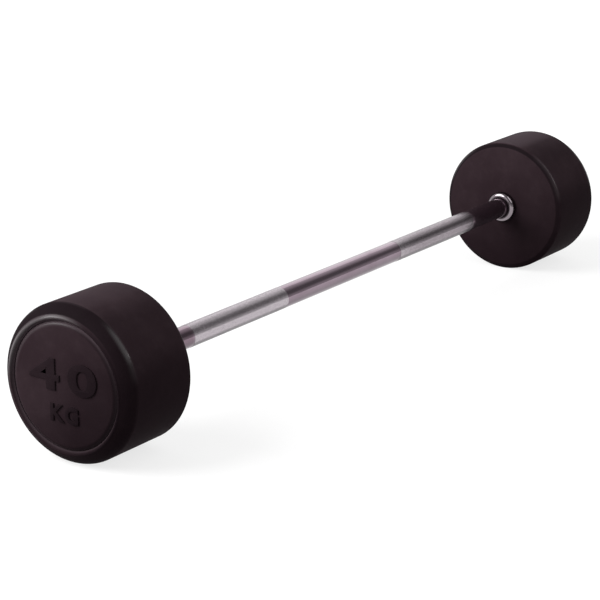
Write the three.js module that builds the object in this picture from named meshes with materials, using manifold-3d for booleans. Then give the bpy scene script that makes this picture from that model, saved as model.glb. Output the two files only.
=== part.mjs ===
// A fixed-weight barbell with rubber heads, built from its separate pieces.
//
// One chromed steel bar runs the whole length. It has two knurled grips, and each of its ends is
// turned down to a shank that passes through a cast-iron core. The core is covered by a moulded
// rubber casing. A chromed collar is trapped between the bar's shoulder and the core. Two pins,
// half in the shank and half in the core, stop the head from turning, and a cap screw with a
// spring washer and a flat washer pulls the core against the collar. A rubber end cap fills the
// recess of the casing and hides the screw.
//
// Millimetres. X runs along the bar, Z is up, and the origin is the middle of the bar on its axis.
import * as THREE from "three";
import { mergeVertices } from "three/addons/utils/BufferGeometryUtils.js";
import Module from "manifold-3d";

const wasm = await Module();
wasm.setup();

// Driving dimensions of the whole barbell
const CLEAR_LENGTH = 920; // between the inner faces of the heads
const HEAD_DIAMETER = 200;
const HEAD_THICKNESS = 122;
const BAR_DIAMETER = 30;

// Clearances
const FIT = 0.3; // between two pieces that touch or are pressed or bonded together
const OVERRUN = 1; // how far a cutting tool runs past the face that it opens

// Bar
const KNURL_START = 140; // from the middle of the bar to the grip
const KNURL_LENGTH = 206;
const KNURL_HEIGHT = 0.2; // how far the knurl's crests stand above the smooth bar
const SHOULDER_HEIGHT = 2.5; // radial step from the bar to its shank
const SHANK_CHAMFER = 1;

// Collar
const COLLAR_PROUD = 10; // from its front to the head's inner face
const COLLAR_WALL = 8; // of the ring that stands proud of the head
const COLLAR_NECK_WALL = 3.7;
const COLLAR_LIP_THICKNESS = 4; // the inner lip that the bar's shoulder pushes on
const COLLAR_EDGE_ROUND = 6;
const COLLAR_BORE_CHAMFER = 1;

// Rubber casing
const RUBBER_INNER_WALL = 10;
const RUBBER_OUTER_WALL = 12;
const RUBBER_SIDE_WALL = 15.5;
const BEVEL_DEPTH = 18; // along the bar
const BEVEL_WIDTH = 12; // across the face
const BEVEL_CROWN = 2; // how far the bevel bulges past a straight one
const BEVEL_EDGE_ROUND = 8;
const BEAD_WIDTH = 7.7; // the raised ring between the bevel and the end cap
const BEAD_OUTER_SLOPE = 3; // across the face
const BEAD_OUTER_DROP = 2.2; // along the bar, from the crest to the bevel
const BEAD_INNER_SLOPE = 3;
const BEAD_INNER_DROP = 4;
const BEAD_ROUND = 1.2;
const INNER_BEVEL_DEPTH = 5;
const INNER_BEVEL_WIDTH = 7.5;
const INNER_BEVEL_ROUND = 2.5;

// Cast-iron core
const CORE_CHAMFER = 4;
const KEY_GROOVE_WIDTH = 30; // round the rim, where the rubber locks on to the iron
const KEY_GROOVE_DEPTH = 4;

// Fasteners at the bar's end
const SCREW_DIAMETER = 12;
const SCREW_LENGTH = 50;
const SCREW_HEAD_DIAMETER = 18;
const SCREW_HEAD_HEIGHT = 12;
const SCREW_SOCKET_WIDTH = 10; // across the flats of the hexagon
const SCREW_SOCKET_DEPTH = 6;
const SCREW_HEAD_CHAMFER = 1;
const TAPPING_RUNOUT = 3; // depth left free past the screw's tip
const WASHER_DIAMETER = 44;
const WASHER_THICKNESS = 5;
const SPRING_WASHER_DIAMETER = 21;
const SPRING_WASHER_THICKNESS = 2.6;
const SPRING_WASHER_SPLIT = 2; // width of the cut through the ring
const PIN_DIAMETER = 6;
const PIN_LENGTH = 24;
const PIN_CHAMFER = 0.6;
const PIN_COUNT = 2;
const POCKET_CLEARANCE = 3; // round the washer in the core's pocket
const END_GAP = 1; // the shank stops this far short of the washer's seat

// End cap
const CAP_SET_BACK = 2; // from the bead's crest to the cap's face
const CAP_EDGE_WIDTH = 6.5; // the rounded-off rim of the face
const CAP_EDGE_DROP = 4;
const CAP_EDGE_CROWN = 1;
const CAP_SPIGOT_DEPTH = 2.5; // the boss behind the cap that centres it in the core's pocket

// Number of flat sides that stand in for a circle
const HEAD_SIDES = 48;
const BAR_SIDES = 36;
const SMALL_SIDES = 24;
const PIN_SIDES = 16;
const ARC_STEP = THREE.MathUtils.degToRad(32);
const CROWN_STEPS = 4;

// Sizes that follow from the ones above
const headRadius = HEAD_DIAMETER / 2;
const barRadius = BAR_DIAMETER / 2;
const shankRadius = barRadius - SHOULDER_HEIGHT;
const tappedRadius = SCREW_DIAMETER / 2 + FIT;
const shankBore = shankRadius + FIT;
const barBore = barRadius + FIT;
const collarNeckRadius = barBore + COLLAR_NECK_WALL;
const collarRadius = barBore + COLLAR_WALL;
const coreRadius = headRadius - RUBBER_SIDE_WALL;
const beadOuterRadius = headRadius - BEVEL_WIDTH;
const recessRadius = beadOuterRadius - BEAD_WIDTH;
const capRadius = recessRadius - FIT;
const pocketRadius = WASHER_DIAMETER / 2 + POCKET_CLEARANCE;

// Stations along a head, measured outwards from its inner face
const coreInner = RUBBER_INNER_WALL;
const coreOuter = HEAD_THICKNESS - RUBBER_OUTER_WALL;
const capBack = coreOuter + FIT;
const capFace = HEAD_THICKNESS - CAP_SET_BACK;
const capSpigotEnd = coreOuter - CAP_SPIGOT_DEPTH;
const screwHeadEnd = capSpigotEnd - FIT;
const screwHeadSeat = screwHeadEnd - SCREW_HEAD_HEIGHT;
const springWasherOuter = screwHeadSeat - FIT;
const springWasherInner = springWasherOuter - SPRING_WASHER_THICKNESS;
const washerOuter = springWasherInner - FIT;
const washerInner = washerOuter - WASHER_THICKNESS;
const pocketFloor = washerInner - FIT;
const shankEnd = pocketFloor - END_GAP;
const screwTip = screwHeadSeat - SCREW_LENGTH;
const tappedBottom = screwTip - TAPPING_RUNOUT;
const collarEnd = coreInner - FIT;
const collarLip = collarEnd - COLLAR_LIP_THICKNESS;
const barShoulder = collarLip - FIT;
const pinEnd = shankEnd;
const pinStart = pinEnd - PIN_LENGTH;

// Materials
const chrome = new THREE.MeshStandardMaterial({ color: 0xcfc9d0, roughness: 0.12, metalness: 1 });
const rubber = new THREE.MeshStandardMaterial({ color: 0x2a2226, roughness: 0.6, metalness: 0 });
const castIron = new THREE.MeshStandardMaterial({ color: 0x4c4a49, roughness: 0.75, metalness: 0.8 });
const zincSteel = new THREE.MeshStandardMaterial({ color: 0xa9abae, roughness: 0.4, metalness: 1 });
const blackSteel = new THREE.MeshStandardMaterial({ color: 0x232426, roughness: 0.45, metalness: 0.9 });

// Rounds the corners of an outline. Each corner is [station, radius] or [station, radius, round].
function roundedOutline(corners, closed) {
  const points = [];
  corners.forEach(([x, y, round], i) => {
    const corner = new THREE.Vector2(x, y);
    if (!round || (!closed && (i === 0 || i === corners.length - 1))) {
      points.push(corner);
      return;
    }
    const before = new THREE.Vector2(...corners.at(i - 1).slice(0, 2)).sub(corner).normalize();
    const next = corners[(i + 1) % corners.length];
    const after = new THREE.Vector2(...next.slice(0, 2)).sub(corner).normalize();
    const half = Math.acos(THREE.MathUtils.clamp(before.dot(after), -1, 1)) / 2;
    const bisector = before.clone().add(after).normalize();
    const centre = corner.clone().addScaledVector(bisector, round / Math.sin(half));
    const start = corner.clone().addScaledVector(before, round / Math.tan(half)).sub(centre);
    const end = corner.clone().addScaledVector(after, round / Math.tan(half)).sub(centre);
    const turn = Math.atan2(start.cross(end), start.dot(end));
    const steps = Math.max(1, Math.round(Math.abs(turn) / ARC_STEP));
    for (let k = 0; k <= steps; k++) {
      points.push(start.clone().rotateAround(new THREE.Vector2(), (turn * k) / steps).add(centre));
    }
  });
  return points;
}

// The corners between two others that make the line from the one to the other bulge outwards
function crownCorners(from, to, crown) {
  const start = new THREE.Vector2(...from);
  const span = new THREE.Vector2(...to).sub(start);
  const outward = new THREE.Vector2(-span.y, span.x).normalize();
  return Array.from({ length: CROWN_STEPS - 1 }, (_, i) => {
    const share = (i + 1) / CROWN_STEPS;
    const bulge = 4 * share * (1 - share) * crown;
    return start.clone().addScaledVector(span, share).addScaledVector(outward, bulge).toArray();
  });
}

// A turned piece with its axis along X. Radii are measured to the middle of its flat sides, and
// a flat side faces down. A ring's outline is closed; a solid piece's starts and ends on the axis.
function turned(corners, sides, ring) {
  const toCorner = 1 / Math.cos(Math.PI / sides);
  const outline = roundedOutline(corners, ring).map((p) => new THREE.Vector2(p.y * toCorner, p.x));
  if (ring) outline.push(outline[0].clone());
  const geometry = new THREE.LatheGeometry(outline, sides, Math.PI / sides);
  return geometry.rotateZ(-Math.PI / 2);
}

function toSolid(geometry) {
  const plain = geometry.index ? geometry.toNonIndexed() : geometry.clone();
  plain.deleteAttribute("normal");
  plain.deleteAttribute("uv");
  const merged = mergeVertices(plain);
  return new wasm.Manifold(
    new wasm.Mesh({
      numProp: 3,
      vertProperties: merged.attributes.position.array,
      triVerts: new Uint32Array(merged.index.array),
    }),
  );
}

function toGeometry(solid) {
  const { vertProperties, triVerts } = solid.getMesh();
  const geometry = new THREE.BufferGeometry();
  geometry.setAttribute("position", new THREE.BufferAttribute(vertProperties, 3));
  geometry.setIndex(new THREE.BufferAttribute(triVerts, 1));
  geometry.computeVertexNormals();
  return geometry;
}

function cut(geometry, tools) {
  return toGeometry(tools.reduce((solid, tool) => solid.subtract(toSolid(tool)), toSolid(geometry)));
}

// The holes of the locking pins, centred on the joint line between the shank and the core
function pinTools(from, to) {
  const radius = PIN_DIAMETER / 2 + FIT;
  return pinAngles().map((angle) =>
    turned([[from, 0], [from, radius], [to, radius], [to, 0]], PIN_SIDES, false)
      .translate(0, shankRadius, 0)
      .rotateX(angle),
  );
}

function pinAngles() {
  return Array.from({ length: PIN_COUNT }, (_, i) => (2 * Math.PI * i) / PIN_COUNT);
}

function barGeometry() {
  const knurlEnd = KNURL_START + KNURL_LENGTH;
  const crest = barRadius + KNURL_HEIGHT;
  const headFace = CLEAR_LENGTH / 2;
  const half = [
    [KNURL_START - KNURL_HEIGHT, barRadius],
    [KNURL_START, crest],
    [knurlEnd, crest],
    [knurlEnd + KNURL_HEIGHT, barRadius],
    [headFace + barShoulder, barRadius],
    [headFace + barShoulder, shankRadius],
    [headFace + shankEnd - SHANK_CHAMFER, shankRadius],
    [headFace + shankEnd, shankRadius - SHANK_CHAMFER],
    [headFace + shankEnd, tappedRadius],
    [headFace + tappedBottom, tappedRadius],
    [headFace + tappedBottom, 0],
  ];
  const otherHalf = half.map(([x, r]) => [-x, r]).reverse();
  const blank = turned([...otherHalf, ...half], BAR_SIDES, false);
  const tools = pinTools(headFace + pinStart - FIT, headFace + shankEnd + OVERRUN);
  const mirrored = tools.map((tool) => tool.clone().rotateZ(Math.PI));
  return cut(blank, [...tools, ...mirrored]);
}

function collarGeometry() {
  return turned(
    [
      [-COLLAR_PROUD + COLLAR_BORE_CHAMFER, barBore],
      [-COLLAR_PROUD, barBore + COLLAR_BORE_CHAMFER],
      [-COLLAR_PROUD, collarRadius, COLLAR_EDGE_ROUND],
      [-FIT, collarRadius],
      [-FIT, collarNeckRadius],
      [collarEnd, collarNeckRadius],
      [collarEnd, shankBore],
      [collarLip, shankBore],
      [collarLip, barBore],
    ],
    BAR_SIDES,
    true,
  );
}

// The casing's outline runs from the collar's hole over the outside to the cap's recess, and back
// along the iron, with one rib that fills the core's key groove.
function casingGeometry() {
  const boreRadius = collarNeckRadius + FIT;
  const inside = coreRadius + FIT;
  const ribTop = inside - KEY_GROOVE_DEPTH;
  const middle = (coreInner + coreOuter) / 2;
  const ribHalf = KEY_GROOVE_WIDTH / 2 - FIT;
  const bevelStart = [HEAD_THICKNESS - BEVEL_DEPTH, headRadius];
  const bevelEnd = [HEAD_THICKNESS - BEAD_OUTER_DROP, beadOuterRadius];
  return turned(
    [
      [0, boreRadius],
      [0, headRadius - INNER_BEVEL_WIDTH, INNER_BEVEL_ROUND],
      [INNER_BEVEL_DEPTH, headRadius, INNER_BEVEL_ROUND],
      [...bevelStart, BEVEL_EDGE_ROUND],
      ...crownCorners(bevelStart, bevelEnd, BEVEL_CROWN),
      bevelEnd,
      [HEAD_THICKNESS, beadOuterRadius - BEAD_OUTER_SLOPE, BEAD_ROUND],
      [HEAD_THICKNESS, recessRadius + BEAD_INNER_SLOPE, BEAD_ROUND],
      [HEAD_THICKNESS - BEAD_INNER_DROP, recessRadius],
      [capBack, recessRadius],
      [capBack, inside - CORE_CHAMFER],
      [capBack - CORE_CHAMFER, inside],
      [middle + ribHalf, inside],
      [middle + ribHalf, ribTop],
      [middle - ribHalf, ribTop],
      [middle - ribHalf, inside],
      [collarEnd + CORE_CHAMFER, inside],
      [collarEnd, inside - CORE_CHAMFER],
      [collarEnd, boreRadius],
    ],
    HEAD_SIDES,
    true,
  );
}

function coreGeometry() {
  const grooveFloor = coreRadius - KEY_GROOVE_DEPTH;
  const middle = (coreInner + coreOuter) / 2;
  const grooveHalf = KEY_GROOVE_WIDTH / 2;
  const blank = turned(
    [
      [coreInner, shankBore],
      [coreInner, coreRadius - CORE_CHAMFER],
      [coreInner + CORE_CHAMFER, coreRadius],
      [middle - grooveHalf, coreRadius],
      [middle - grooveHalf, grooveFloor],
      [middle + grooveHalf, grooveFloor],
      [middle + grooveHalf, coreRadius],
      [coreOuter - CORE_CHAMFER, coreRadius],
      [coreOuter, coreRadius - CORE_CHAMFER],
      [coreOuter, pocketRadius],
      [pocketFloor, pocketRadius],
      [pocketFloor, shankBore],
    ],
    HEAD_SIDES,
    true,
  );
  return cut(blank, pinTools(pinStart - FIT, pocketFloor + OVERRUN));
}

function washerGeometry() {
  const hole = SCREW_DIAMETER / 2 + FIT;
  const rim = WASHER_DIAMETER / 2;
  return turned(
    [[washerInner, hole], [washerInner, rim], [washerOuter, rim], [washerOuter, hole]],
    SMALL_SIDES,
    true,
  );
}

// The spring washer is pressed flat by the screw, so only its slanting cut shows that it is split.
function springWasherGeometry() {
  const hole = SCREW_DIAMETER / 2 + FIT;
  const rim = SPRING_WASHER_DIAMETER / 2;
  const ring = turned(
    [
      [springWasherInner, hole],
      [springWasherInner, rim],
      [springWasherOuter, rim],
      [springWasherOuter, hole],
    ],
    SMALL_SIDES,
    true,
  );
  const middle = (springWasherInner + springWasherOuter) / 2;
  const slot = new THREE.BoxGeometry(2 * SPRING_WASHER_DIAMETER, rim, SPRING_WASHER_SPLIT)
    .rotateY(Math.PI / 4)
    .translate(middle, (hole + rim) / 2, 0);
  return cut(ring, [slot]);
}

function screwGeometry() {
  const headRadius = SCREW_HEAD_DIAMETER / 2;
  const blank = turned(
    [
      [screwTip, 0],
      [screwTip, SCREW_DIAMETER / 2 - SCREW_HEAD_CHAMFER],
      [screwTip + SCREW_HEAD_CHAMFER, SCREW_DIAMETER / 2],
      [screwHeadSeat, SCREW_DIAMETER / 2],
      [screwHeadSeat, headRadius],
      [screwHeadEnd - SCREW_HEAD_CHAMFER, headRadius],
      [screwHeadEnd, headRadius - SCREW_HEAD_CHAMFER],
      [screwHeadEnd, 0],
    ],
    SMALL_SIDES,
    false,
  );
  const floor = screwHeadEnd - SCREW_SOCKET_DEPTH;
  const mouth = screwHeadEnd + OVERRUN;
  const socketRadius = SCREW_SOCKET_WIDTH / 2;
  const socket = turned([[floor, 0], [floor, socketRadius], [mouth, socketRadius], [mouth, 0]], 6, false);
  return cut(blank, [socket]);
}

function pinGeometry() {
  const radius = PIN_DIAMETER / 2;
  return turned(
    [
      [pinStart, 0],
      [pinStart, radius - PIN_CHAMFER],
      [pinStart + PIN_CHAMFER, radius],
      [pinEnd - PIN_CHAMFER, radius],
      [pinEnd, radius - PIN_CHAMFER],
      [pinEnd, 0],
    ],
    PIN_SIDES,
    false,
  );
}

function capGeometry() {
  const spigotRadius = pocketRadius - FIT;
  const edgeStart = [capFace - CAP_EDGE_DROP, capRadius];
  const edgeEnd = [capFace, capRadius - CAP_EDGE_WIDTH];
  return turned(
    [
      [capSpigotEnd, 0],
      [capSpigotEnd, spigotRadius],
      [capBack, spigotRadius],
      [capBack, capRadius],
      edgeStart,
      ...crownCorners(edgeStart, edgeEnd, CAP_EDGE_CROWN),
      edgeEnd,
      [capFace, 0],
    ],
    HEAD_SIDES,
    false,
  );
}

function piece(name, geometry, material) {
  const mesh = new THREE.Mesh(geometry, material);
  mesh.name = name;
  return mesh;
}

// One head with everything that fixes it to the bar. Its own origin is the middle of its inner
// face, and its outer face looks along +X.
function head(side) {
  const group = new THREE.Group();
  group.add(
    piece(`collar_${side}`, collarGeometry(), chrome),
    piece(`head_core_${side}`, coreGeometry(), castIron),
    piece(`rubber_casing_${side}`, casingGeometry(), rubber),
    piece(`flat_washer_${side}`, washerGeometry(), zincSteel),
    piece(`spring_washer_${side}`, springWasherGeometry(), zincSteel),
    piece(`end_screw_${side}`, screwGeometry(), blackSteel),
    piece(`end_cap_${side}`, capGeometry(), rubber),
  );
  pinAngles().forEach((angle, i) => {
    const pin = piece(`lock_pin_${side}_${i + 1}`, pinGeometry(), zincSteel);
    pin.position.set(0, shankRadius * Math.cos(angle), shankRadius * Math.sin(angle));
    group.add(pin);
  });
  return group;
}

const barbell = new THREE.Group();
barbell.add(piece("bar", barGeometry(), chrome));

const rightHead = head("right");
rightHead.position.x = CLEAR_LENGTH / 2;
const leftHead = head("left");
leftHead.position.x = -CLEAR_LENGTH / 2;
leftHead.rotation.z = Math.PI;
barbell.add(rightHead, leftHead);

export default barbell;
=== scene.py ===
"""The looks of a fixed rubber barbell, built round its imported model.

Metres. X runs along the bar, Z is up, and the origin is the middle of the bar on its axis.
"""

import math

import bmesh
import bpy
from mathutils import Matrix, Vector


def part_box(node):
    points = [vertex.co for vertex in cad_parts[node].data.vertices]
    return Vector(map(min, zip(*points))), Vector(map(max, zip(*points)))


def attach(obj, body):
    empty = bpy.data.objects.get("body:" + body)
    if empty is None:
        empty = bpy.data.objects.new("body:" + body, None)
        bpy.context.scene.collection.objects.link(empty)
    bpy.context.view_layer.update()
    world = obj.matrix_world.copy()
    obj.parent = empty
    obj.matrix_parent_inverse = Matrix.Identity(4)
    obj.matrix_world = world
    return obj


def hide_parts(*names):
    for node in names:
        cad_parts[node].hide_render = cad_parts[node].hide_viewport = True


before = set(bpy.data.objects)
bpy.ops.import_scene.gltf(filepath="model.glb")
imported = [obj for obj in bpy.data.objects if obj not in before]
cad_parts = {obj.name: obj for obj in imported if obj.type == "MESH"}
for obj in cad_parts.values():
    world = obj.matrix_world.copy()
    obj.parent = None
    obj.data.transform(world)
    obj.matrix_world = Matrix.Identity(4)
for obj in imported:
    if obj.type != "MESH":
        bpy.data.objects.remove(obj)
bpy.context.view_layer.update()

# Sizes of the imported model
BAR_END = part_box("bar")[1].x
CREST_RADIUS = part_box("bar")[1].z
INNER_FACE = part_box("rubber_casing_right")[0].x
OUTER_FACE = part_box("rubber_casing_right")[1].x
HEAD_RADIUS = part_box("rubber_casing_right")[1].z
CAP_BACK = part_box("end_cap_right")[0].x
CAP_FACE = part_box("end_cap_right")[1].x
CAP_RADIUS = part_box("end_cap_right")[1].z
COLLAR_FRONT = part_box("collar_right")[0].x
COLLAR_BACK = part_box("collar_right")[1].x
COLLAR_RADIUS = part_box("collar_right")[1].z
FLOOR = -HEAD_RADIUS

# Sizes of the parts of each piece, as in the CAD model
FIT = 0.0003  # between two pieces that touch
BAR_RADIUS = 0.015
SHANK_RADIUS = 0.0125
SHANK_CHAMFER = 0.001
SHOULDER_BACK = 0.0054  # from the head's inner face to the bar's shoulder in the collar
THREAD_RADIUS = 0.0063
THREAD_BACK = 0.0422  # from the head's inner face to the bottom of the thread's bore
KNURL_START = 0.140  # from the middle of the bar to the grip
KNURL_LENGTH = 0.206
COLLAR_LIP = 0.004  # the inner lip that the bar's shoulder pushes on
COLLAR_NECK_RADIUS = 0.0190
COLLAR_BORE_CHAMFER = 0.001
COLLAR_EDGE_ROUND = 0.006
CORE_CHAMFER = 0.004
KEY_GROOVE_WIDTH = 0.030  # round the core's rim, where the rubber locks on to the iron
KEY_GROOVE_DEPTH = 0.004
BEVEL_DEPTH = 0.018  # along the bar
BEVEL_WIDTH = 0.012  # across the face
BEVEL_CROWN = 0.002  # how far the bevel bulges past a straight one
BEVEL_EDGE_ROUND = 0.008
INNER_BEVEL_DEPTH = 0.005
INNER_BEVEL_WIDTH = 0.0075
INNER_BEVEL_ROUND = 0.0025
BEAD_OUTER_SLOPE = 0.003  # across the face
BEAD_OUTER_DROP = 0.0022  # along the bar, from the crest of the raised ring to the bevel
BEAD_INNER_SLOPE = 0.003
BEAD_INNER_DROP = 0.004
CAP_EDGE_WIDTH = 0.0065  # the rounded-off rim of the cap's face
CAP_EDGE_DROP = 0.004
CAP_EDGE_CROWN = 0.001
CAP_SPIGOT_RADIUS = 0.0247
CAP_SPIGOT_DEPTH = 0.0028  # the boss behind the cap that centres it in the core's pocket

# Sizes of the fine shapes, which the CAD model leaves out or has plainer
GROOVE_RADIUS = 0.01493  # down in the knurl
KNURL_FLAT_SHARE = 0.86  # of a diamond's width, for its flat top
DIAMONDS_ALONG = 76
DIAMONDS_AROUND = 60
BEAD_ROUND = 0.0013
CAP_FACE_BORDER = 0.001  # a narrow band that keeps the shading of the flat face flat

# Raised marks on the end caps: a plain number and its unit
MARK_HEIGHT = 0.0018
MARK_BEVEL = 0.0008
MARK_BOLDNESS = 0.0010  # added round the number's strokes, and less round smaller ones
MARK_SPACING = 1.30  # between characters, as a share of the letter's own spacing
NUMBER = "40"
NUMBER_SIZE = 0.052
NUMBER_STRETCH = 1.70  # sideways
NUMBER_RISE = 0.0105  # above the cap's middle
UNIT = "KG"
UNIT_SIZE = 0.028
UNIT_STRETCH = 1.05
UNIT_RISE = -0.0355

# Stations and radii that these sizes give, at the right end
KNURL_END = KNURL_START + KNURL_LENGTH
BEVEL_START = OUTER_FACE - BEVEL_DEPTH
BEAD_RADIUS = HEAD_RADIUS - BEVEL_WIDTH
INNER_BEVEL_END = INNER_FACE + INNER_BEVEL_DEPTH
INNER_BEVEL_RADIUS = HEAD_RADIUS - INNER_BEVEL_WIDTH
COLLAR_ROUND_START = COLLAR_RADIUS - COLLAR_EDGE_ROUND

# Meshes
ROUND_STEP = math.radians(10)
CROWN_STEPS = 8
HEAD_SIDES = 192
COLLAR_SIDES = 96
PIN_HOLE_SIDES = 24
MARK_CURVE_STEPS = 8
MARK_BEVEL_STEPS = 2
WELD = 0.000002  # corners nearer than this become one
KNURL_WELD = 0.00002
SHARP_ANGLE = math.radians(28)

# Gloss of the rubber
RUBBER_GLOSS = 0.01
RUBBED_ROUGHNESS = 0.27

# Colours, in linear light and with their alpha
WHITE = (1, 1, 1, 1)
FLOOR_GREY = (0.28, 0.28, 0.28, 1)
DARK_RUBBER = (0.0105, 0.0058, 0.0076, 1)
PALE_RUBBER = (0.0165, 0.0098, 0.0122, 1)
# The rubber with painted light on it, in its darker and paler tones
DARK_LIT_RUBBER = (0.0265, 0.0160, 0.0197, 1)
PALE_LIT_RUBBER = (0.0400, 0.0260, 0.0308, 1)
RUBBER_SPECKS = (0.034, 0.023, 0.027, 1)
# Painted shade on the rubber's bevels, marks and crests
SHADED_RUBBER = (0.0050, 0.0034, 0.0045, 1)
# A painted highlight on the crests of the face
HIGHLIT_RUBBER = (0.045, 0.037, 0.041, 1)
# Painted light on the top of the heads' sides
LIT_TOP_RUBBER = (0.100, 0.075, 0.087, 1)
# Painted light in the joint round the end cap
LIT_JOINT_RUBBER = (0.110, 0.082, 0.094, 1)
BAR_CHROME = (0.285, 0.220, 0.262, 1)
HANDLED_CHROME = (0.240, 0.180, 0.218, 1)
# Painted shade on the bar's smooth ends, for the reflection of the dark heads
SHADED_END_CHROME = (0.160, 0.100, 0.130, 1)
SCRATCHED_CHROME = (0.40, 0.34, 0.38, 1)
KNURL_CRESTS = (0.58, 0.53, 0.565, 1)
RIGHT_GRIP_CRESTS = (0.38, 0.335, 0.365, 1)
# Dirt down in the knurl, and painted shade on the tops of the grips
KNURL_DIRT_AND_SHADE = (0.14, 0.112, 0.132, 1)
# Painted shade under the bar
SHADED_BAR_UNDERSIDE = (0.05, 0.04, 0.046, 1)
COLLAR_CHROME = (0.27, 0.235, 0.255, 1)
HANDLED_COLLAR = (0.22, 0.190, 0.205, 1)
DARK_COLLAR_FRONT = (0.060, 0.050, 0.055, 1)
# Painted shade on the collar next to the rubber
SHADED_COLLAR_BACK = (0.09, 0.075, 0.08, 1)
IRON = (0.075, 0.072, 0.070, 1)
RUST = (0.11, 0.055, 0.030, 1)
ZINC = (0.52, 0.53, 0.54, 1)
STAINED_ZINC = (0.40, 0.40, 0.38, 1)
BLACKED_STEEL = (0.018, 0.018, 0.020, 1)
WORN_STEEL = (0.090, 0.085, 0.080, 1)

# Floor
FLOOR_REACH = 14
FLOOR_LIFT = 0.76  # the glow near the barbell, where 1 is white
FLOOR_FADE_START = 0.5
FLOOR_FADE_END = 2.2

# Brightness of the room that the barbell reflects, where 1 is white
ROOM_FRONT = 0.15
ROOM_FRONT_LOW = 0.52
ROOM_BACK_HIGH = 0.40

# Lamps, with their direction from the barbell and their power in watts
LAMPS = (
    {"name": "key", "direction": (-0.64, 0.52, 0.56), "distance": 4.0, "size": 3.0, "power": 180},
    {"name": "back", "direction": (0.785, 0.41, 0.46), "distance": 2.4, "size": 1.4, "power": 3},
    {"name": "front", "direction": (0.0, -0.65, 0.76), "distance": 2.6, "size": 2.4, "power": 19},
    {"name": "glint", "direction": (0.38, -0.77, 0.50), "distance": 2.6, "size": 0.4, "power": 5},
)

# Camera
CAMERA_TARGET = Vector((-0.0926, 0.0, -0.0146))
CAMERA_AZIMUTH = math.radians(-55.17)
CAMERA_ELEVATION = math.radians(16.92)
CAMERA_DISTANCE = 2.93
CAMERA_LENS = 129.4
CAMERA_SENSOR = 36.0


# Shader maths


class Value:
    """A socket of a node tree. Sums on values add the Math nodes that work them out."""

    def __init__(self, nodes, socket):
        self.nodes = nodes
        self.socket = socket

    def math(self, operation, *others):
        sockets = dict(enumerate((self, *others)))
        return self.nodes.add("ShaderNodeMath", {"operation": operation}, sockets)

    def __add__(self, other):
        return self.math("ADD", other)

    def __sub__(self, other):
        return self.math("SUBTRACT", other)

    def __mul__(self, other):
        return self.math("MULTIPLY", other)

    def __truediv__(self, other):
        return self.math("DIVIDE", other)

    def __rsub__(self, other):
        return self.nodes.add("ShaderNodeMath", {"operation": "SUBTRACT"}, {0: other, 1: self})

    __radd__ = __add__
    __rmul__ = __mul__

    def sqrt(self):
        return self.math("SQRT")

    def abs(self):
        return self.math("ABSOLUTE")

    def rise(self, start, end):
        """A smooth step from 0 at the start to 1 at the end. The end may be the lower of the two."""
        sockets = {"Value": self, "From Min": start, "From Max": end}
        return self.nodes.add("ShaderNodeMapRange", {"interpolation_type": "SMOOTHSTEP"}, sockets)

    def peak(self, centre, width):
        """1 at the centre, 0 from half the width to either side of it."""
        return (self - centre).abs().rise(width / 2, 0.0)


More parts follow.
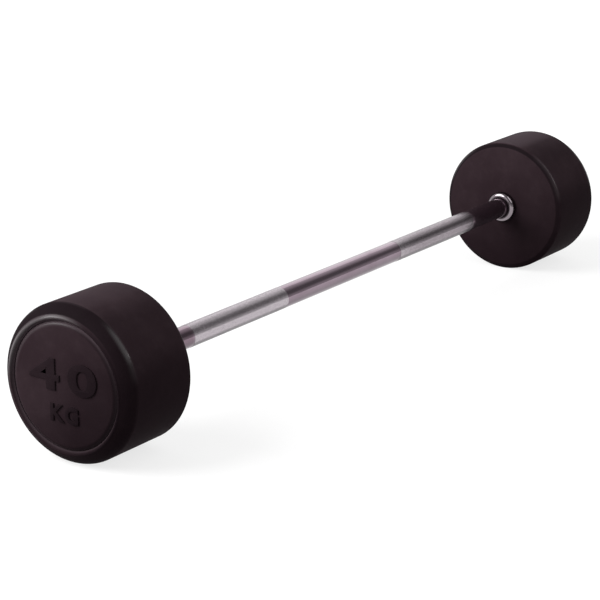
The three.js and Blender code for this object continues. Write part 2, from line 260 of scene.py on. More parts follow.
class Nodes:
    """The node tree of a material, the world or a Geometry Nodes modifier."""

    def __init__(self, tree):
        self.tree = tree
        tree.nodes.clear()

    def add(self, kind, settings=None, sockets=None, output=0):
        """A new node: its settings first, then the values or links of its sockets."""
        node = self.tree.nodes.new(kind)
        for name, setting in (settings or {}).items():
            setattr(node, name, setting)
        for name, value in (sockets or {}).items():
            if isinstance(value, Value):
                self.tree.links.new(value.socket, node.inputs[name])
            else:
                node.inputs[name].default_value = value
        return Value(self, node.outputs[output]) if len(node.outputs) else None

    def split(self, vector):
        """The three numbers of a vector."""
        node = self.add("ShaderNodeSeparateXYZ", sockets={0: vector}).socket.node
        return [Value(self, socket) for socket in node.outputs]

    def vector(self, *numbers):
        """The vector of three numbers."""
        return self.add("ShaderNodeCombineXYZ", sockets=dict(enumerate(numbers)))

    def place(self):
        """The object's own coordinates, as a vector."""
        return self.add("ShaderNodeTexCoord", output="Object")

    def rays(self, *kinds):
        """1 for rays of these kinds and 0 for all others."""
        outputs = self.add("ShaderNodeLightPath").socket.node.outputs
        values = [Value(self, outputs[f"Is {kind} Ray"]) for kind in kinds]
        return sum(values[1:], values[0]).math("MINIMUM", 1.0)

    def without(self, geometry, faces):
        """A geometry with some of its faces left out."""
        sockets = {"Geometry": geometry, "Selection": faces}
        return self.add("GeometryNodeDeleteGeometry", {"domain": "FACE"}, sockets)

    def scattered(self, shape, count, along, across, turn=0.0):
        """Copies of a shape at places on the flat, each turned about the upright."""
        sockets = {"Count": count, "Position": self.vector(along, across, 0.0)}
        points = self.add("GeometryNodePoints", sockets=sockets)
        sockets = {"Points": points, "Instance": shape, "Rotation": self.vector(0.0, 0.0, turn)}
        copies = self.add("GeometryNodeInstanceOnPoints", sockets=sockets)
        return self.add("GeometryNodeRealizeInstances", sockets={"Geometry": copies})

    def joined(self, *geometries):
        """Several geometries as one."""
        node = self.add("GeometryNodeJoinGeometry")
        for geometry in geometries:
            self.tree.links.new(geometry.socket, node.socket.node.inputs[0])
        return node

    def noise(self, place, scale, detail, roughness, stretch=None):
        """Cloudy noise from 0 to 1. Its clouds are about 1 / scale metres across."""
        if stretch:
            place = self.add("ShaderNodeMapping", sockets={"Vector": place, "Scale": stretch})
        sockets = {"Vector": place, "Scale": scale, "Detail": detail, "Roughness": roughness}
        return self.add("ShaderNodeTexNoise", sockets=sockets)

    def mix(self, factor, first, second):
        """The first colour where the factor is 0 and the second where it is 1. A Mix node has sockets
        of the same names for each kind of value, so those for colours go by number."""
        settings = {"data_type": "RGBA", "clamp_factor": True}
        sockets = {0: factor, 6: first, 7: second}
        return self.add("ShaderNodeMix", settings, sockets, output=2)

    def bump(self, height, distance, strength):
        """A normal for a height from 0 to 1 that stands for the distance in metres."""
        sockets = {"Height": height, "Distance": distance, "Strength": strength}
        return self.add("ShaderNodeBump", sockets=sockets)

    def surface(self, **sockets):
        """Ends a material in a Principled shader. Underscores stand for spaces in socket names."""
        named = {name.replace("_", " "): value for name, value in sockets.items()}
        shader = self.add("ShaderNodeBsdfPrincipled", sockets=named)
        self.add("ShaderNodeOutputMaterial", sockets={"Surface": shader})


def material(name):
    """A new material and its nodes."""
    made = bpy.data.materials.new(name)
    made.use_nodes = True
    return made, Nodes(made.node_tree)


class Spot:
    """A place on a piece: as a vector, as x, y and z, as the station along the bar, which counts from
    the middle to both ends, and as the radius from the bar's axis."""

    def __init__(self, nodes):
        self.place = nodes.place()
        self.x, self.y, self.z = nodes.split(self.place)
        self.station = self.x.abs()
        self.radius = (self.y * self.y + self.z * self.z).sqrt()


# Masks on the rubber


def on_side(spot):
    """1 on the straight side of a head."""
    return spot.radius.rise(HEAD_RADIUS - 0.0012, HEAD_RADIUS - 0.0004)


def on_bevels(spot):
    """1 on the outer and the inner bevel of a head."""
    outer = spot.station.rise(BEVEL_START - 0.0012, BEVEL_START + 0.0008)
    outer = outer * spot.radius.rise(BEAD_RADIUS - 0.0004, BEAD_RADIUS + 0.0010)
    inner = spot.station.rise(INNER_BEVEL_END, INNER_BEVEL_END - 0.002)
    inner = inner * spot.radius.rise(INNER_BEVEL_RADIUS, INNER_BEVEL_RADIUS + 0.0015)
    return outer + inner


def on_shoulders(spot):
    """1 on the rounds between a head's bevels and its side, high on both flanks."""
    outer = spot.station.peak(BEVEL_START + 0.0020, 0.0120)
    inner = spot.station.peak(INNER_BEVEL_END - 0.0010, 0.0100)
    rounds = (outer + inner) * spot.radius.rise(HEAD_RADIUS - 0.0055, HEAD_RADIUS - 0.0020)
    return rounds * spot.y.abs().rise(0.040, 0.075) * spot.z.rise(0.015, 0.050)


def on_bead(spot):
    """1 on the crest of the raised ring round an end cap."""
    ring = spot.radius.peak(BEAD_RADIUS - BEAD_OUTER_SLOPE, 0.0090)
    return ring * spot.station.rise(CAP_FACE - 0.002, CAP_FACE)


def on_cap_edge(spot):
    """1 on the rounded edge of an end cap."""
    ring = spot.radius.peak(CAP_RADIUS - 0.003, 0.0080)
    return ring * spot.station.rise(CAP_FACE - 0.004, CAP_FACE - 0.002)


def on_marks(spot):
    """1 on the fronts of the marks that stand on an end cap."""
    on_cap = spot.radius.rise(CAP_RADIUS - 0.002, CAP_RADIUS - 0.006)
    return on_cap * spot.station.rise(CAP_FACE + 0.0002, CAP_FACE + 0.0010)


def in_joint(spot):
    """1 in the joint between an end cap and the raised ring."""
    return spot.radius.peak(CAP_RADIUS, 0.0100) * spot.station.peak(CAP_FACE - 0.003, 0.010)


def painted_face_light(spot):
    """Painted light on a head's flat faces, from 0 low down at the front to 1 high up at the back."""
    outward = spot.station.rise(INNER_FACE, OUTER_FACE)
    slant = spot.y * (0.40 + 0.60 * outward) + 0.9 * spot.z + 0.012 * outward - 0.010
    return slant.rise(-0.105, 0.075)


def painted_side_light(spot):
    """Painted light on a head's side: most at the back, in a broad band below the top that stands
    for a sheen, and on the top.
    """
    back = 0.25 + spot.y.rise(-0.105, 0.075)
    return back + 0.75 * spot.z.peak(0.055, 0.085) + 0.35 * spot.z.rise(0.080, 0.098)


# Finishes


def moulded_rubber():
    """Satin black rubber. Painted light makes it paler high up at the back and in a band round the
    side, and lies on the top of the side and in the joint round the end cap. Painted shade darkens
    its bevels, the fronts of its marks and the front of the crests of its face. Handling has
    polished its shoulders and the crests of its face, and a painted highlight lightens those crests
    high up at the back."""
    made, nodes = material("moulded_rubber")
    spot = Spot(nodes)
    side = on_side(spot)
    bead = on_bead(spot)
    cap_edge = on_cap_edge(spot)
    # Painted light: paler high up at the back, and a painted sheen in a band round the side
    face_light = painted_face_light(spot)
    painted_light = face_light + side * (painted_side_light(spot) - face_light)
    # Polish on the crests high up at the back, which a painted highlight also lightens
    polish_and_highlight = (bead + 0.45 * cap_edge) * spot.y.rise(-0.04, 0.05) * spot.z.rise(-0.025, 0.045)
    # Painted shade on the bevels, the fronts of the marks and the front of the crests
    dark = on_bevels(spot) * (0.25 + 0.50 * face_light) + on_marks(spot) * 0.45
    dark = dark + (bead + cap_edge) * spot.y.rise(0.01, -0.04) * 0.45
    # Painted light on the top of the side, more on the right head
    painted_top_light = side * spot.z.rise(0.0940, 0.0995) * (0.10 + 0.22 * spot.x.rise(-0.2, 0.2))
    # Painted light in the joint round the end cap, more where the faces have painted light
    painted_joint_light = in_joint(spot) * (0.28 + 0.50 * face_light)

    clouds = nodes.noise(spot.place, 14, 5, 0.6)
    patches = nodes.noise(spot.place, 45, 4, 0.65)
    grain = nodes.noise(spot.place, 900, 3, 0.6)
    pores = nodes.noise(spot.place, 2600, 1, 0.5)
    bloom = clouds.rise(0.35, 0.72) * 0.6 + patches.rise(0.45, 0.75) * 0.4
    bare = nodes.mix(bloom, DARK_RUBBER, PALE_RUBBER)
    lit_rubber = nodes.mix(bloom, DARK_LIT_RUBBER, PALE_LIT_RUBBER)
    base = nodes.mix(painted_light, bare, lit_rubber)
    base = nodes.mix(grain.rise(0.35, 0.8) * 0.25, base, RUBBER_SPECKS)
    base = nodes.mix(dark, base, SHADED_RUBBER)
    base = nodes.mix(polish_and_highlight * 0.30, base, HIGHLIT_RUBBER)
    base = nodes.mix(painted_top_light, base, LIT_TOP_RUBBER)
    base = nodes.mix(painted_joint_light, base, LIT_JOINT_RUBBER)
    nodes.surface(
        Base_Color=base,
        Roughness=0.56 + 0.10 * bloom + 0.06 * grain - 0.16 * polish_and_highlight,
        Normal=nodes.bump(grain * 0.65 + pores * 0.35, 0.00010, 0.35),
        Specular_IOR_Level=RUBBER_GLOSS,
        Coat_Weight=polish_and_highlight + on_shoulders(spot) * 0.74,
        Coat_Roughness=RUBBED_ROUGHNESS,
    )
    return made


def hard_chrome():
    """Hard chrome on the bar: polished and lightly scratched, dull and dirty down in the knurl.
    Painted shade darkens it underneath, where it is less metallic too, on its smooth ends, where it
    stands for the reflection of the dark heads, and on the tops of the grips. The right grip is the
    darker one."""
    made, nodes = material("hard_chrome")
    spot = Spot(nodes)
    half_grip = KNURL_LENGTH / 2
    knurled = (spot.station - KNURL_START - half_grip).abs().rise(half_grip, half_grip - 0.001)
    depth = spot.radius.rise(CREST_RADIUS - 0.00005, GROOVE_RADIUS + 0.0001) * knurled
    # Painted shade on the smooth ends, for the reflection of the dark heads
    ends = spot.station.rise(KNURL_END, KNURL_END + 0.004)
    # The right grip's crests are darker
    right_grip = spot.x.rise(0.10, 0.20)
    # Painted shade on the tops of the grips
    painted_top_shade = knurled * spot.z.rise(0.0128, 0.0148) * 0.40
    # Painted shade underneath the bar, with less metal there
    underneath = spot.z.rise(0.0020 - 0.0050 * knurled, -0.0095) * (0.44 + 0.36 * knurled)

    turning = nodes.noise(spot.place, 60, 3, 0.6, stretch=(60, 1, 1))
    scratches = nodes.noise(spot.place, 90, 4, 0.75, stretch=(1, 14, 14)).rise(0.60, 0.75)
    hands = nodes.noise(spot.place, 22, 4, 0.6).rise(0.40, 0.75)
    grime_and_shade = nodes.noise(spot.place, 120, 4, 0.7).rise(0.35, 0.75)
    smooth = nodes.mix(hands * 0.7, BAR_CHROME, HANDLED_CHROME)
    smooth = nodes.mix(ends * 0.55, smooth, SHADED_END_CHROME)
    smooth = nodes.mix(scratches * 0.25, smooth, SCRATCHED_CHROME)
    knurl = nodes.mix(right_grip, KNURL_CRESTS, RIGHT_GRIP_CRESTS)
    knurl = nodes.mix(depth * (0.75 + 0.25 * grime_and_shade), knurl, KNURL_DIRT_AND_SHADE)
    base = nodes.mix(knurled, smooth, knurl)
    base = nodes.mix(painted_top_shade, base, KNURL_DIRT_AND_SHADE)
    base = nodes.mix(underneath, base, SHADED_BAR_UNDERSIDE)
    nodes.surface(
        Base_Color=base,
        Metallic=(0.94 + 0.05 * knurled) * (1 - 0.55 * underneath),
        Roughness=0.10 + 0.08 * hands + 0.05 * scratches + 0.08 * knurled + 0.18 * depth * grime_and_shade,
        Normal=nodes.bump(turning, 0.00001, 0.3),
    )
    return made


def turned_chrome():
    """Chrome over the tool marks of a turned collar, darker and rougher at its front. Painted
    shade darkens it next to the rubber, where it is rougher too.
    """
    made, nodes = material("turned_chrome")
    spot = Spot(nodes)
    front = spot.radius.rise(COLLAR_ROUND_START + 0.0016, COLLAR_ROUND_START + 0.0002)
    # Painted shade next to the rubber, where the collar is also rougher
    grime_and_shade = spot.station.rise(INNER_FACE - 0.0025, INNER_FACE - FIT)
    tool_marks = nodes.noise(spot.place, 60, 2, 0.5, stretch=(50, 1, 1))
    hands = nodes.noise(spot.place, 60, 4, 0.6).rise(0.40, 0.75)
    base = nodes.mix(hands * 0.6, COLLAR_CHROME, HANDLED_COLLAR)
    base = nodes.mix(front, base, DARK_COLLAR_FRONT)
    base = nodes.mix(grime_and_shade * 0.7, base, SHADED_COLLAR_BACK)
    nodes.surface(
        Base_Color=base,
        Metallic=1.0,
        Roughness=0.10 + 0.06 * hands + 0.30 * front + 0.25 * grime_and_shade,
        Normal=nodes.bump(tool_marks, 0.00002, 0.25),
    )
    return made


def cast_iron():
    """Rough sand-cast iron with rust in its pits."""
    made, nodes = material("cast_iron")
    place = nodes.place()
    sand = nodes.noise(place, 500, 5, 0.7)
    rust = nodes.noise(place, 25, 4, 0.6).rise(0.5, 0.75)
    nodes.surface(
        Base_Color=nodes.mix(rust * 0.6, IRON, RUST),
        Metallic=0.7,
        Roughness=0.62 + 0.25 * sand,
        Normal=nodes.bump(sand, 0.0004, 0.6),
    )
    return made


def zinc_plate():
    """Bright zinc with a faint crystal pattern and dull stains."""
    made, nodes = material("zinc_plate")
    place = nodes.place()
    crystals = nodes.noise(place, 400, 3, 0.6)
    stains = nodes.noise(place, 60, 3, 0.5).rise(0.4, 0.8)
    nodes.surface(
        Base_Color=nodes.mix(stains, ZINC, STAINED_ZINC),
        Metallic=1.0,
        Roughness=0.28 + 0.2 * crystals,
        Normal=nodes.bump(crystals, 0.00004, 0.4),
    )
    return made


def black_oxide():
    """Blackened high-tensile steel, oily and a little worn."""
    made, nodes = material("black_oxide")
    wear = nodes.noise(nodes.place(), 160, 4, 0.65)
    nodes.surface(
        Base_Color=nodes.mix(wear.rise(0.55, 0.8), BLACKED_STEEL, WORN_STEEL),
        Metallic=0.9,
        Roughness=0.32 + 0.2 * wear,
        Normal=nodes.bump(wear, 0.00003, 0.4),
    )
    return made


# Turned outlines


def rounded(corners):
    """An outline with its corners rounded. A corner is (station, radius) or has its round third."""
    points = []
    for i, (x, r, *rounds) in enumerate(corners):
        corner = Vector((x, r))
        if not rounds:
            points.append(corner)
            continue
        before = (Vector(corners[i - 1][:2]) - corner).normalized()
        after = (Vector(corners[(i + 1) % len(corners)][:2]) - corner).normalized()
        half = before.angle(after) / 2
        centre = corner + (before + after).normalized() * (rounds[0] / math.sin(half))
        start = corner + before * (rounds[0] / math.tan(half)) - centre
        end = corner + after * (rounds[0] / math.tan(half)) - centre
        turn = math.atan2(start.x * end.y - start.y * end.x, start.dot(end))
        steps = max(2, round(abs(turn) / ROUND_STEP))
        points += [centre + Matrix.Rotation(turn * k / steps, 2) @ start for k in range(steps + 1)]
    return points


def crown(start, end, bulge):
    """Corners that make the line between two others bulge outwards."""
    start, end = Vector(start[:2]), Vector(end[:2])
    span = end - start
    outward = Vector((-span.y, span.x)).normalized()
    shares = [k / CROWN_STEPS for k in range(1, CROWN_STEPS)]
    return [tuple(start + span * s + outward * (4 * s * (1 - s) * bulge)) for s in shares]


def at_end(side, outline):
    """An outline of the right end, put at this end of the bar."""
    return outline if side == "right" else [(-x, r) for x, r in reversed(outline)]


def turned(outlines, sides, ring=False):
    """A mesh turned round the X axis, with one corner where an outline meets the axis. A ring's
    outline closes on itself."""
    mesh = bmesh.new()
    for outline in outlines:
        loops = []
        for x, r in outline:
            angles = [2 * math.pi * k / sides for k in range(sides)] if r else [0]
            loops.append([mesh.verts.new((x, r * math.sin(a), r * math.cos(a))) for a in angles])
        following = loops[1:] + loops[:1] if ring else loops[1:]
        for one, other in zip(loops, following):
            for k in range(sides):
                n = (k + 1) % sides
                near = one[k % len(one)], one[n % len(one)]
                far = other[n % len(other)], other[k % len(other)]
                mesh.faces.new(dict.fromkeys(near + far))
    return meshed("turned", mesh)


# Meshes and objects


def meshed(name, mesh):
    """The mesh data of a bmesh, which is used up."""
    data = bpy.data.meshes.new(name)
    mesh.to_mesh(data)
    mesh.free()
    return data


def placed(name, data):
    """A new object in the scene."""
    obj = bpy.data.objects.new(name, data)
    bpy.context.scene.collection.objects.link(obj)
    return obj


def aimed(name, data, place, target):
    """A new camera or lamp at a place, turned towards a target."""
    obj = placed(name, data)
    obj.location = place
    obj.rotation_euler = (target - place).to_track_quat("-Z", "Y").to_euler()
    return obj


def as_mesh(obj):
    """The plain mesh that an object's modifiers make. The object itself goes."""
    graph = bpy.context.evaluated_depsgraph_get()
    data = bpy.data.meshes.new_from_object(obj.evaluated_get(graph))
    bpy.data.objects.remove(obj)
    return data


def welded(data):
    """A mesh with its doubled corners merged and its faces turned outwards."""
    mesh = bmesh.new()
    mesh.from_mesh(data)
    bmesh.ops.remove_doubles(mesh, verts=mesh.verts, dist=WELD)
    bmesh.ops.recalc_face_normals(mesh, faces=mesh.faces)
    mesh.to_mesh(data)
    mesh.free()
    return data


def combined(data, others, operation):
    """A mesh joined with others or cut by them."""
    obj = placed("body", welded(data))
    tools = [placed("tool", welded(other)) for other in others]
    for tool in tools:
        modifier = obj.modifiers.new("combine", "BOOLEAN")
        modifier.operation = operation
        modifier.solver = "MANIFOLD"
        modifier.object = tool
    data = as_mesh(obj)
    for tool in tools:
        bpy.data.objects.remove(tool)
    return data


def finished(name, data, finish, slot, *nodes):
    """A piece of the barbell from its mesh, in place of CAD nodes."""
    welded(data)
    data.name = name
    data.materials.clear()
    data.materials.append(finish)
    data.polygons.foreach_set("material_index", [0] * len(data.polygons))
    data.polygons.foreach_set("use_smooth", [True] * len(data.polygons))
    data.set_sharp_from_angle(angle=SHARP_ANGLE)
    obj = placed(name, data)
    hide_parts(*nodes)
    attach(obj, "root")


# The bar


def bar_end():
    """The bar's end from its grip outwards: a smooth stretch, the shank, and the thread's bore."""
    return [
        (KNURL_END, BAR_RADIUS),
        (INNER_FACE + SHOULDER_BACK, BAR_RADIUS),
        (INNER_FACE + SHOULDER_BACK, SHANK_RADIUS),
        (BAR_END - SHANK_CHAMFER, SHANK_RADIUS),
        (BAR_END, SHANK_RADIUS - SHANK_CHAMFER),
        (BAR_END, THREAD_RADIUS),
        (INNER_FACE + THREAD_BACK, THREAD_RADIUS),
        (INNER_FACE + THREAD_BACK, 0),
    ]


def pin_hole(pin):
    """A cylinder that cuts the bar's half of a lock pin's hole."""
    low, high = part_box(pin)
    middle = (low + high) / 2
    mesh = bmesh.new()
    bmesh.ops.create_cone(
        mesh,
        cap_ends=True,
        segments=PIN_HOLE_SIDES,
        radius1=(high.z - low.z) / 2 + FIT,
        radius2=(high.z - low.z) / 2 + FIT,
        depth=high.x - low.x + 2 * FIT,
        matrix=Matrix.Translation(middle) @ Matrix.Rotation(math.pi / 2, 4, "Y"),
    )
    return meshed("pin_hole", mesh)


def grip_sizes(start):
    """The inputs of the tree for a knurled grip that starts at this station."""
    return {
        "Start": start,
        "Length": KNURL_LENGTH,
        "Bar Radius": BAR_RADIUS,
        "Crest Radius": CREST_RADIUS,
        "Groove Radius": GROOVE_RADIUS,
        "Flat Share": KNURL_FLAT_SHARE,
        "Diamonds Along": DIAMONDS_ALONG,
        "Diamonds Around": DIAMONDS_AROUND,
    }


def given_sizes(tree, nodes):
    """Gives a grip's tree its inputs and its output, and returns the inputs by name."""
    tree.interface.new_socket("Geometry", in_out="OUTPUT", socket_type="NodeSocketGeometry")
    tree.interface.new_socket("Geometry", in_out="INPUT", socket_type="NodeSocketGeometry")
    for name, size in grip_sizes(KNURL_START).items():
        kind = "NodeSocketInt" if isinstance(size, int) else "NodeSocketFloat"
        tree.interface.new_socket(name, in_out="INPUT", socket_type=kind)
    given = nodes.add("NodeGroupInput").socket.node
    return {socket.name: Value(nodes, socket) for socket in given.outputs}


def flat_diamonds(nodes, index, around, steps_along, flat_share):
    """Flat-topped diamonds in rows on the flat, half a pitch apart and every other row set over."""
    column = (index / around).math("FLOOR") + 1
    row = index.math("MODULO", around) * 2 + column.math("MODULO", 2.0)
    pyramid = nodes.add(
        "GeometryNodeMeshCone",
        {"fill_type": "NGON"},
        {"Vertices": 4, "Radius Top": flat_share, "Radius Bottom": 1.0, "Depth": 1.0},
    )
    base = Value(nodes, pyramid.socket.node.outputs["Bottom"])
    return nodes.scattered(nodes.without(pyramid, base), (steps_along - 1) * around, column, row)


def end_notches(nodes, index, around, steps_along):
    """Plain triangles on the flat that fill the gaps between the diamonds at both ends."""
    end = (index / around).math("FLOOR")
    row = index.math("MODULO", around) * 2
    sockets = {"Vertices": 4, "Radius": 1.0}
    square = nodes.add("GeometryNodeMeshCircle", {"fill_type": "TRIANGLE_FAN"}, sockets)
    corner = nodes.split(nodes.add("GeometryNodeInputPosition"))[0]
    notch = nodes.without(square, corner.math("LESS_THAN", 0.0))
    return nodes.scattered(notch, around * 2, end * steps_along, row, end * math.pi)


def knurl_tree(finish):
    """A tree that adds a knurled grip to a bar: flat-topped diamonds, laid out flat in half
    pitches and then bent round the bar, with plain triangles to fill the gaps at both ends."""
    tree = bpy.data.node_groups.new("knurled_grip", "GeometryNodeTree")
    nodes = Nodes(tree)
    sizes = given_sizes(tree, nodes)
    around = sizes["Diamonds Around"]
    steps_along = sizes["Diamonds Along"] * 2
    index = nodes.add("GeometryNodeInputIndex")
    diamonds = flat_diamonds(nodes, index, around, steps_along, sizes["Flat Share"])
    flat = nodes.joined(diamonds, end_notches(nodes, index, around, steps_along))

    along, across, height = nodes.split(nodes.add("GeometryNodeInputPosition"))
    at_ends = (along * (steps_along - along)).math("LESS_THAN", 0.5)
    radius = sizes["Groove Radius"] + height * (sizes["Crest Radius"] - sizes["Groove Radius"])
    radius = radius + at_ends * (sizes["Bar Radius"] - radius)
    angle = across * math.pi / around
    bent = nodes.vector(
        sizes["Start"] + along * sizes["Length"] / steps_along,
        radius * angle.math("SINE"),
        radius * angle.math("COSINE"),
    )
    grip = nodes.add("GeometryNodeSetPosition", sockets={"Geometry": flat, "Position": bent})
    whole = nodes.joined(grip, sizes["Geometry"])
    sockets = {"Geometry": whole, "Distance": KNURL_WELD}
    whole = nodes.add("GeometryNodeMergeByDistance", sockets=sockets)
    whole = nodes.add("GeometryNodeRealizeInstances", sockets={"Geometry": whole})
    whole = nodes.add("GeometryNodeSetMaterial", sockets={"Geometry": whole, "Material": finish})
    nodes.add("NodeGroupOutput", sockets={0: whole})
    return tree


def make_bar(finish):
    """One steel bar. Its two knurled grips are grown between its three smooth stretches."""
    middle = [(-KNURL_START, BAR_RADIUS), (KNURL_START, BAR_RADIUS)]
    outlines = [at_end("left", bar_end()), middle, bar_end()]
    data = turned(outlines, 2 * DIAMONDS_AROUND)
    pins = [pin_hole(name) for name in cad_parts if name.startswith("lock_pin")]
    bar = placed("bar_blank", data)
    tree = knurl_tree(finish)
    for start in (KNURL_START, -KNURL_END):
        modifier = bar.modifiers.new("grip", "NODES")
        modifier.node_group = tree
        sizes = grip_sizes(start)
        for socket in tree.interface.items_tree:
            if socket.name in sizes:
                modifier[socket.identifier] = sizes[socket.name]
    finished("knurled_bar", combined(as_mesh(bar), pins, "DIFFERENCE"), finish, "chrome", "bar")


# The heads


def make_collar(side, finish):
    """The collar between the bar's shoulder and the head: a ring with a neck inside the head."""
    bore = BAR_RADIUS + FIT
    outline = rounded([
        (COLLAR_FRONT + COLLAR_BORE_CHAMFER, bore),
        (COLLAR_FRONT, bore + COLLAR_BORE_CHAMFER),
        (COLLAR_FRONT, COLLAR_RADIUS, COLLAR_EDGE_ROUND),
        (INNER_FACE - FIT, COLLAR_RADIUS),
        (INNER_FACE - FIT, COLLAR_NECK_RADIUS),
        (COLLAR_BACK, COLLAR_NECK_RADIUS),
        (COLLAR_BACK, SHANK_RADIUS + FIT),
        (COLLAR_BACK - COLLAR_LIP, SHANK_RADIUS + FIT),
        (COLLAR_BACK - COLLAR_LIP, bore),
    ])
    data = turned([at_end(side, outline)], COLLAR_SIDES, ring=True)
    finished(f"chrome_collar_{side}", data, finish, "chrome", f"collar_{side}")


def make_casing(side, finish):
    """The rubber round a head: its bevels outside, and inside the iron core's seat with the rib
    that fills the core's groove."""
    bore = COLLAR_NECK_RADIUS + FIT
    recess = CAP_RADIUS + FIT
    bevel_start = (BEVEL_START, HEAD_RADIUS, BEVEL_EDGE_ROUND)
    bevel_end = (OUTER_FACE - BEAD_OUTER_DROP, BEAD_RADIUS)
    core_low, core_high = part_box("head_core_right")
    core_radius = core_high.z + FIT
    rib_radius = core_radius - KEY_GROOVE_DEPTH
    rib_middle = (core_low.x + core_high.x) / 2
    rib_half = KEY_GROOVE_WIDTH / 2 - FIT
    outline = rounded([
        (INNER_FACE, bore),
        (INNER_FACE, INNER_BEVEL_RADIUS, INNER_BEVEL_ROUND),
        (INNER_BEVEL_END, HEAD_RADIUS, INNER_BEVEL_ROUND),
        bevel_start,
        *crown(bevel_start, bevel_end, BEVEL_CROWN),
        bevel_end,
        (OUTER_FACE, BEAD_RADIUS - BEAD_OUTER_SLOPE, BEAD_ROUND),
        (OUTER_FACE, recess + BEAD_INNER_SLOPE, BEAD_ROUND),
        (OUTER_FACE - BEAD_INNER_DROP, recess),
        (core_high.x + FIT, recess),
        (core_high.x + FIT, core_radius - CORE_CHAMFER),
        (core_high.x + FIT - CORE_CHAMFER, core_radius),
        (rib_middle + rib_half, core_radius),
        (rib_middle + rib_half, rib_radius),
        (rib_middle - rib_half, rib_radius),
        (rib_middle - rib_half, core_radius),
        (core_low.x - FIT + CORE_CHAMFER, core_radius),
        (core_low.x - FIT, core_radius - CORE_CHAMFER),
        (core_low.x - FIT, bore),
    ])
    data = turned([at_end(side, outline)], HEAD_SIDES, ring=True)
    finished(f"rubber_head_{side}", data, finish, "rubber", f"rubber_casing_{side}")


def marks(side, text, size, stretch, rise):
    """Bold raised characters with bevelled edges, standing on an end cap's face."""
    curve = bpy.data.curves.new("marks", "FONT")
    curve.body = text
    curve.size = size
    curve.align_x = "CENTER"
    curve.align_y = "CENTER"
    curve.space_character = MARK_SPACING
    curve.offset = MARK_BOLDNESS * size / NUMBER_SIZE
    curve.extrude = MARK_HEIGHT
    curve.bevel_depth = MARK_BEVEL
    curve.bevel_resolution = MARK_BEVEL_STEPS
    curve.resolution_u = MARK_CURVE_STEPS
    data = as_mesh(placed("marks", curve))
    outward = 1 if side == "right" else -1
    data.transform(Matrix((
        (0, 0, outward, outward * (CAP_FACE - MARK_BEVEL)),
        (outward * stretch, 0, 0, 0),
        (0, 1, 0, rise),
        (0, 0, 0, 1),
    )))
    return data


def make_cap(side, finish):
    """The end cap, with a plain number and its unit raised on its face."""
    edge_start = (CAP_FACE - CAP_EDGE_DROP, CAP_RADIUS)
    edge_end = (CAP_FACE, CAP_RADIUS - CAP_EDGE_WIDTH)
    outline = [
        (CAP_BACK, 0),
        (CAP_BACK, CAP_SPIGOT_RADIUS),
        (CAP_BACK + CAP_SPIGOT_DEPTH, CAP_SPIGOT_RADIUS),
        (CAP_BACK + CAP_SPIGOT_DEPTH, CAP_RADIUS),
        edge_start,
        *crown(edge_start, edge_end, CAP_EDGE_CROWN),
        edge_end,
        (CAP_FACE, CAP_RADIUS - CAP_EDGE_WIDTH - CAP_FACE_BORDER),
        (CAP_FACE, 0),
    ]
    data = turned([at_end(side, outline)], HEAD_SIDES)
    raised = [
        marks(side, NUMBER, NUMBER_SIZE, NUMBER_STRETCH, NUMBER_RISE),
        marks(side, UNIT, UNIT_SIZE, UNIT_STRETCH, UNIT_RISE),
    ]
    data = combined(data, raised, "UNION")
    finished(f"rubber_cap_{side}", data, finish, "rubber", f"end_cap_{side}")


# Camera and studio


def make_camera():
    """The camera at the photograph's viewing angle."""
    data = bpy.data.cameras.new("camera")
    data.lens = CAMERA_LENS
    data.sensor_width = CAMERA_SENSOR
    back = Vector((
        math.sin(CAMERA_AZIMUTH) * math.cos(CAMERA_ELEVATION),
        -math.cos(CAMERA_AZIMUTH) * math.cos(CAMERA_ELEVATION),
        math.sin(CAMERA_ELEVATION),
    ))
    camera = aimed("camera", data, CAMERA_TARGET + CAMERA_DISTANCE * back, CAMERA_TARGET)
    bpy.context.scene.camera = camera


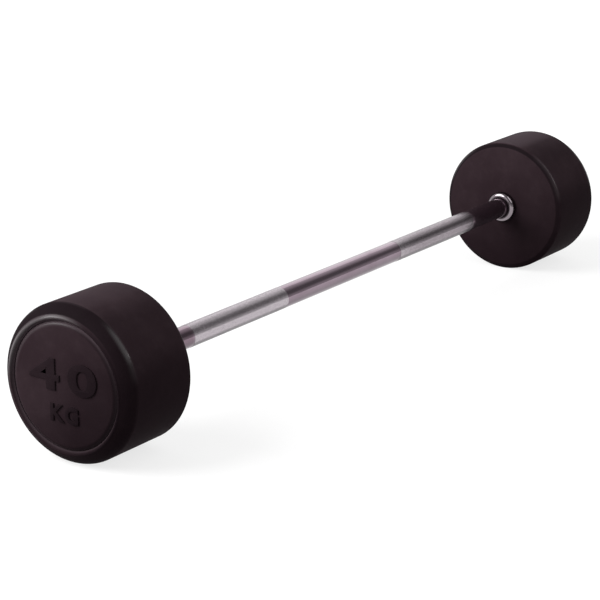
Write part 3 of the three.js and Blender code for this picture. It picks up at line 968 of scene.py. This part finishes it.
def make_floor():
    """A pale floor that shows white, apart from the barbell's shadow."""
    corners = [(-1, -1, 0), (1, -1, 0), (1, 1, 0), (-1, 1, 0)]
    corners = [Vector(corner) * FLOOR_REACH + Vector((0, 0, FLOOR)) for corner in corners]
    data = bpy.data.meshes.new("floor")
    data.from_pydata(corners, [], [(0, 1, 2, 3)])
    made, nodes = material("studio_floor")
    x, y = nodes.split(nodes.place())[:2]
    far = (x * x + y * y).sqrt().rise(FLOOR_FADE_START, FLOOR_FADE_END)
    seen = nodes.rays("Camera", "Glossy", "Transmission")
    strength = seen * (FLOOR_LIFT + (1 - FLOOR_LIFT) * far)
    shade = nodes.add("ShaderNodeBsdfDiffuse", sockets={"Color": FLOOR_GREY})
    glow = nodes.add("ShaderNodeEmission", sockets={"Color": WHITE, "Strength": strength})
    both = nodes.add("ShaderNodeAddShader", sockets={0: shade, 1: glow})
    nodes.add("ShaderNodeOutputMaterial", sockets={"Surface": both})
    data.materials.append(made)
    placed("floor", data)


def make_room():
    """The world. The camera sees white all round. The barbell itself reflects a room that is white
    behind it, less so high up, and dim in front, which gives the chrome its dark bands. A direction
    is 1 long, and its y and z say how far it points back and up."""
    world = bpy.data.worlds.new("studio")
    bpy.context.scene.world = world
    world.use_nodes = True
    nodes = Nodes(world.node_tree)
    direction = nodes.add("ShaderNodeTexCoord", output="Generated")
    y, z = nodes.split(direction)[1:]
    front = ROOM_FRONT + (ROOM_FRONT_LOW - ROOM_FRONT) * z.rise(0.38, 0.08)
    back = 1 - (1 - ROOM_BACK_HIGH) * z.rise(0.50, 0.80)
    room = front + y.rise(-0.38, 0.12) * (back - front)
    strength = room + nodes.rays("Camera") * (1 - room)
    sky = nodes.add("ShaderNodeBackground", sockets={"Color": WHITE, "Strength": strength})
    nodes.add("ShaderNodeOutputWorld", sockets={"Surface": sky})


def make_lamp(name, direction, distance, size, power):
    """A round lamp that shines on the barbell from this direction, unseen by the camera."""
    data = bpy.data.lights.new(name, "AREA")
    data.shape = "DISK"
    data.size = size
    data.energy = power
    lamp = aimed(name, data, Vector(direction).normalized() * distance, Vector())
    lamp.visible_camera = False


def make_studio():
    """The floor, the room, and a soft key lamp behind on the left with three weaker ones."""
    make_floor()
    make_room()
    for lamp in LAMPS:
        make_lamp(**lamp)


# The whole barbell


def make_barbell():
    """Every piece with its finish. The pieces inside the heads keep the shapes of their CAD nodes."""
    rubber = moulded_rubber()
    make_bar(hard_chrome())
    chrome = turned_chrome()
    for side in ("left", "right"):
        make_collar(side, chrome)
        make_casing(side, rubber)
        make_cap(side, rubber)
    zinc = zinc_plate()
    inside = {
        "head_core": cast_iron(),
        "end_screw": black_oxide(),
        "flat_washer": zinc,
        "spring_washer": zinc,
        "lock_pin": zinc,
    }
    for name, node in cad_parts.items():
        for start, finish in inside.items():
            if name.startswith(start):
                node.material_slots[0].material = finish


bpy.context.scene.view_settings.view_transform = "Standard"
make_camera()
make_studio()
make_barbell()
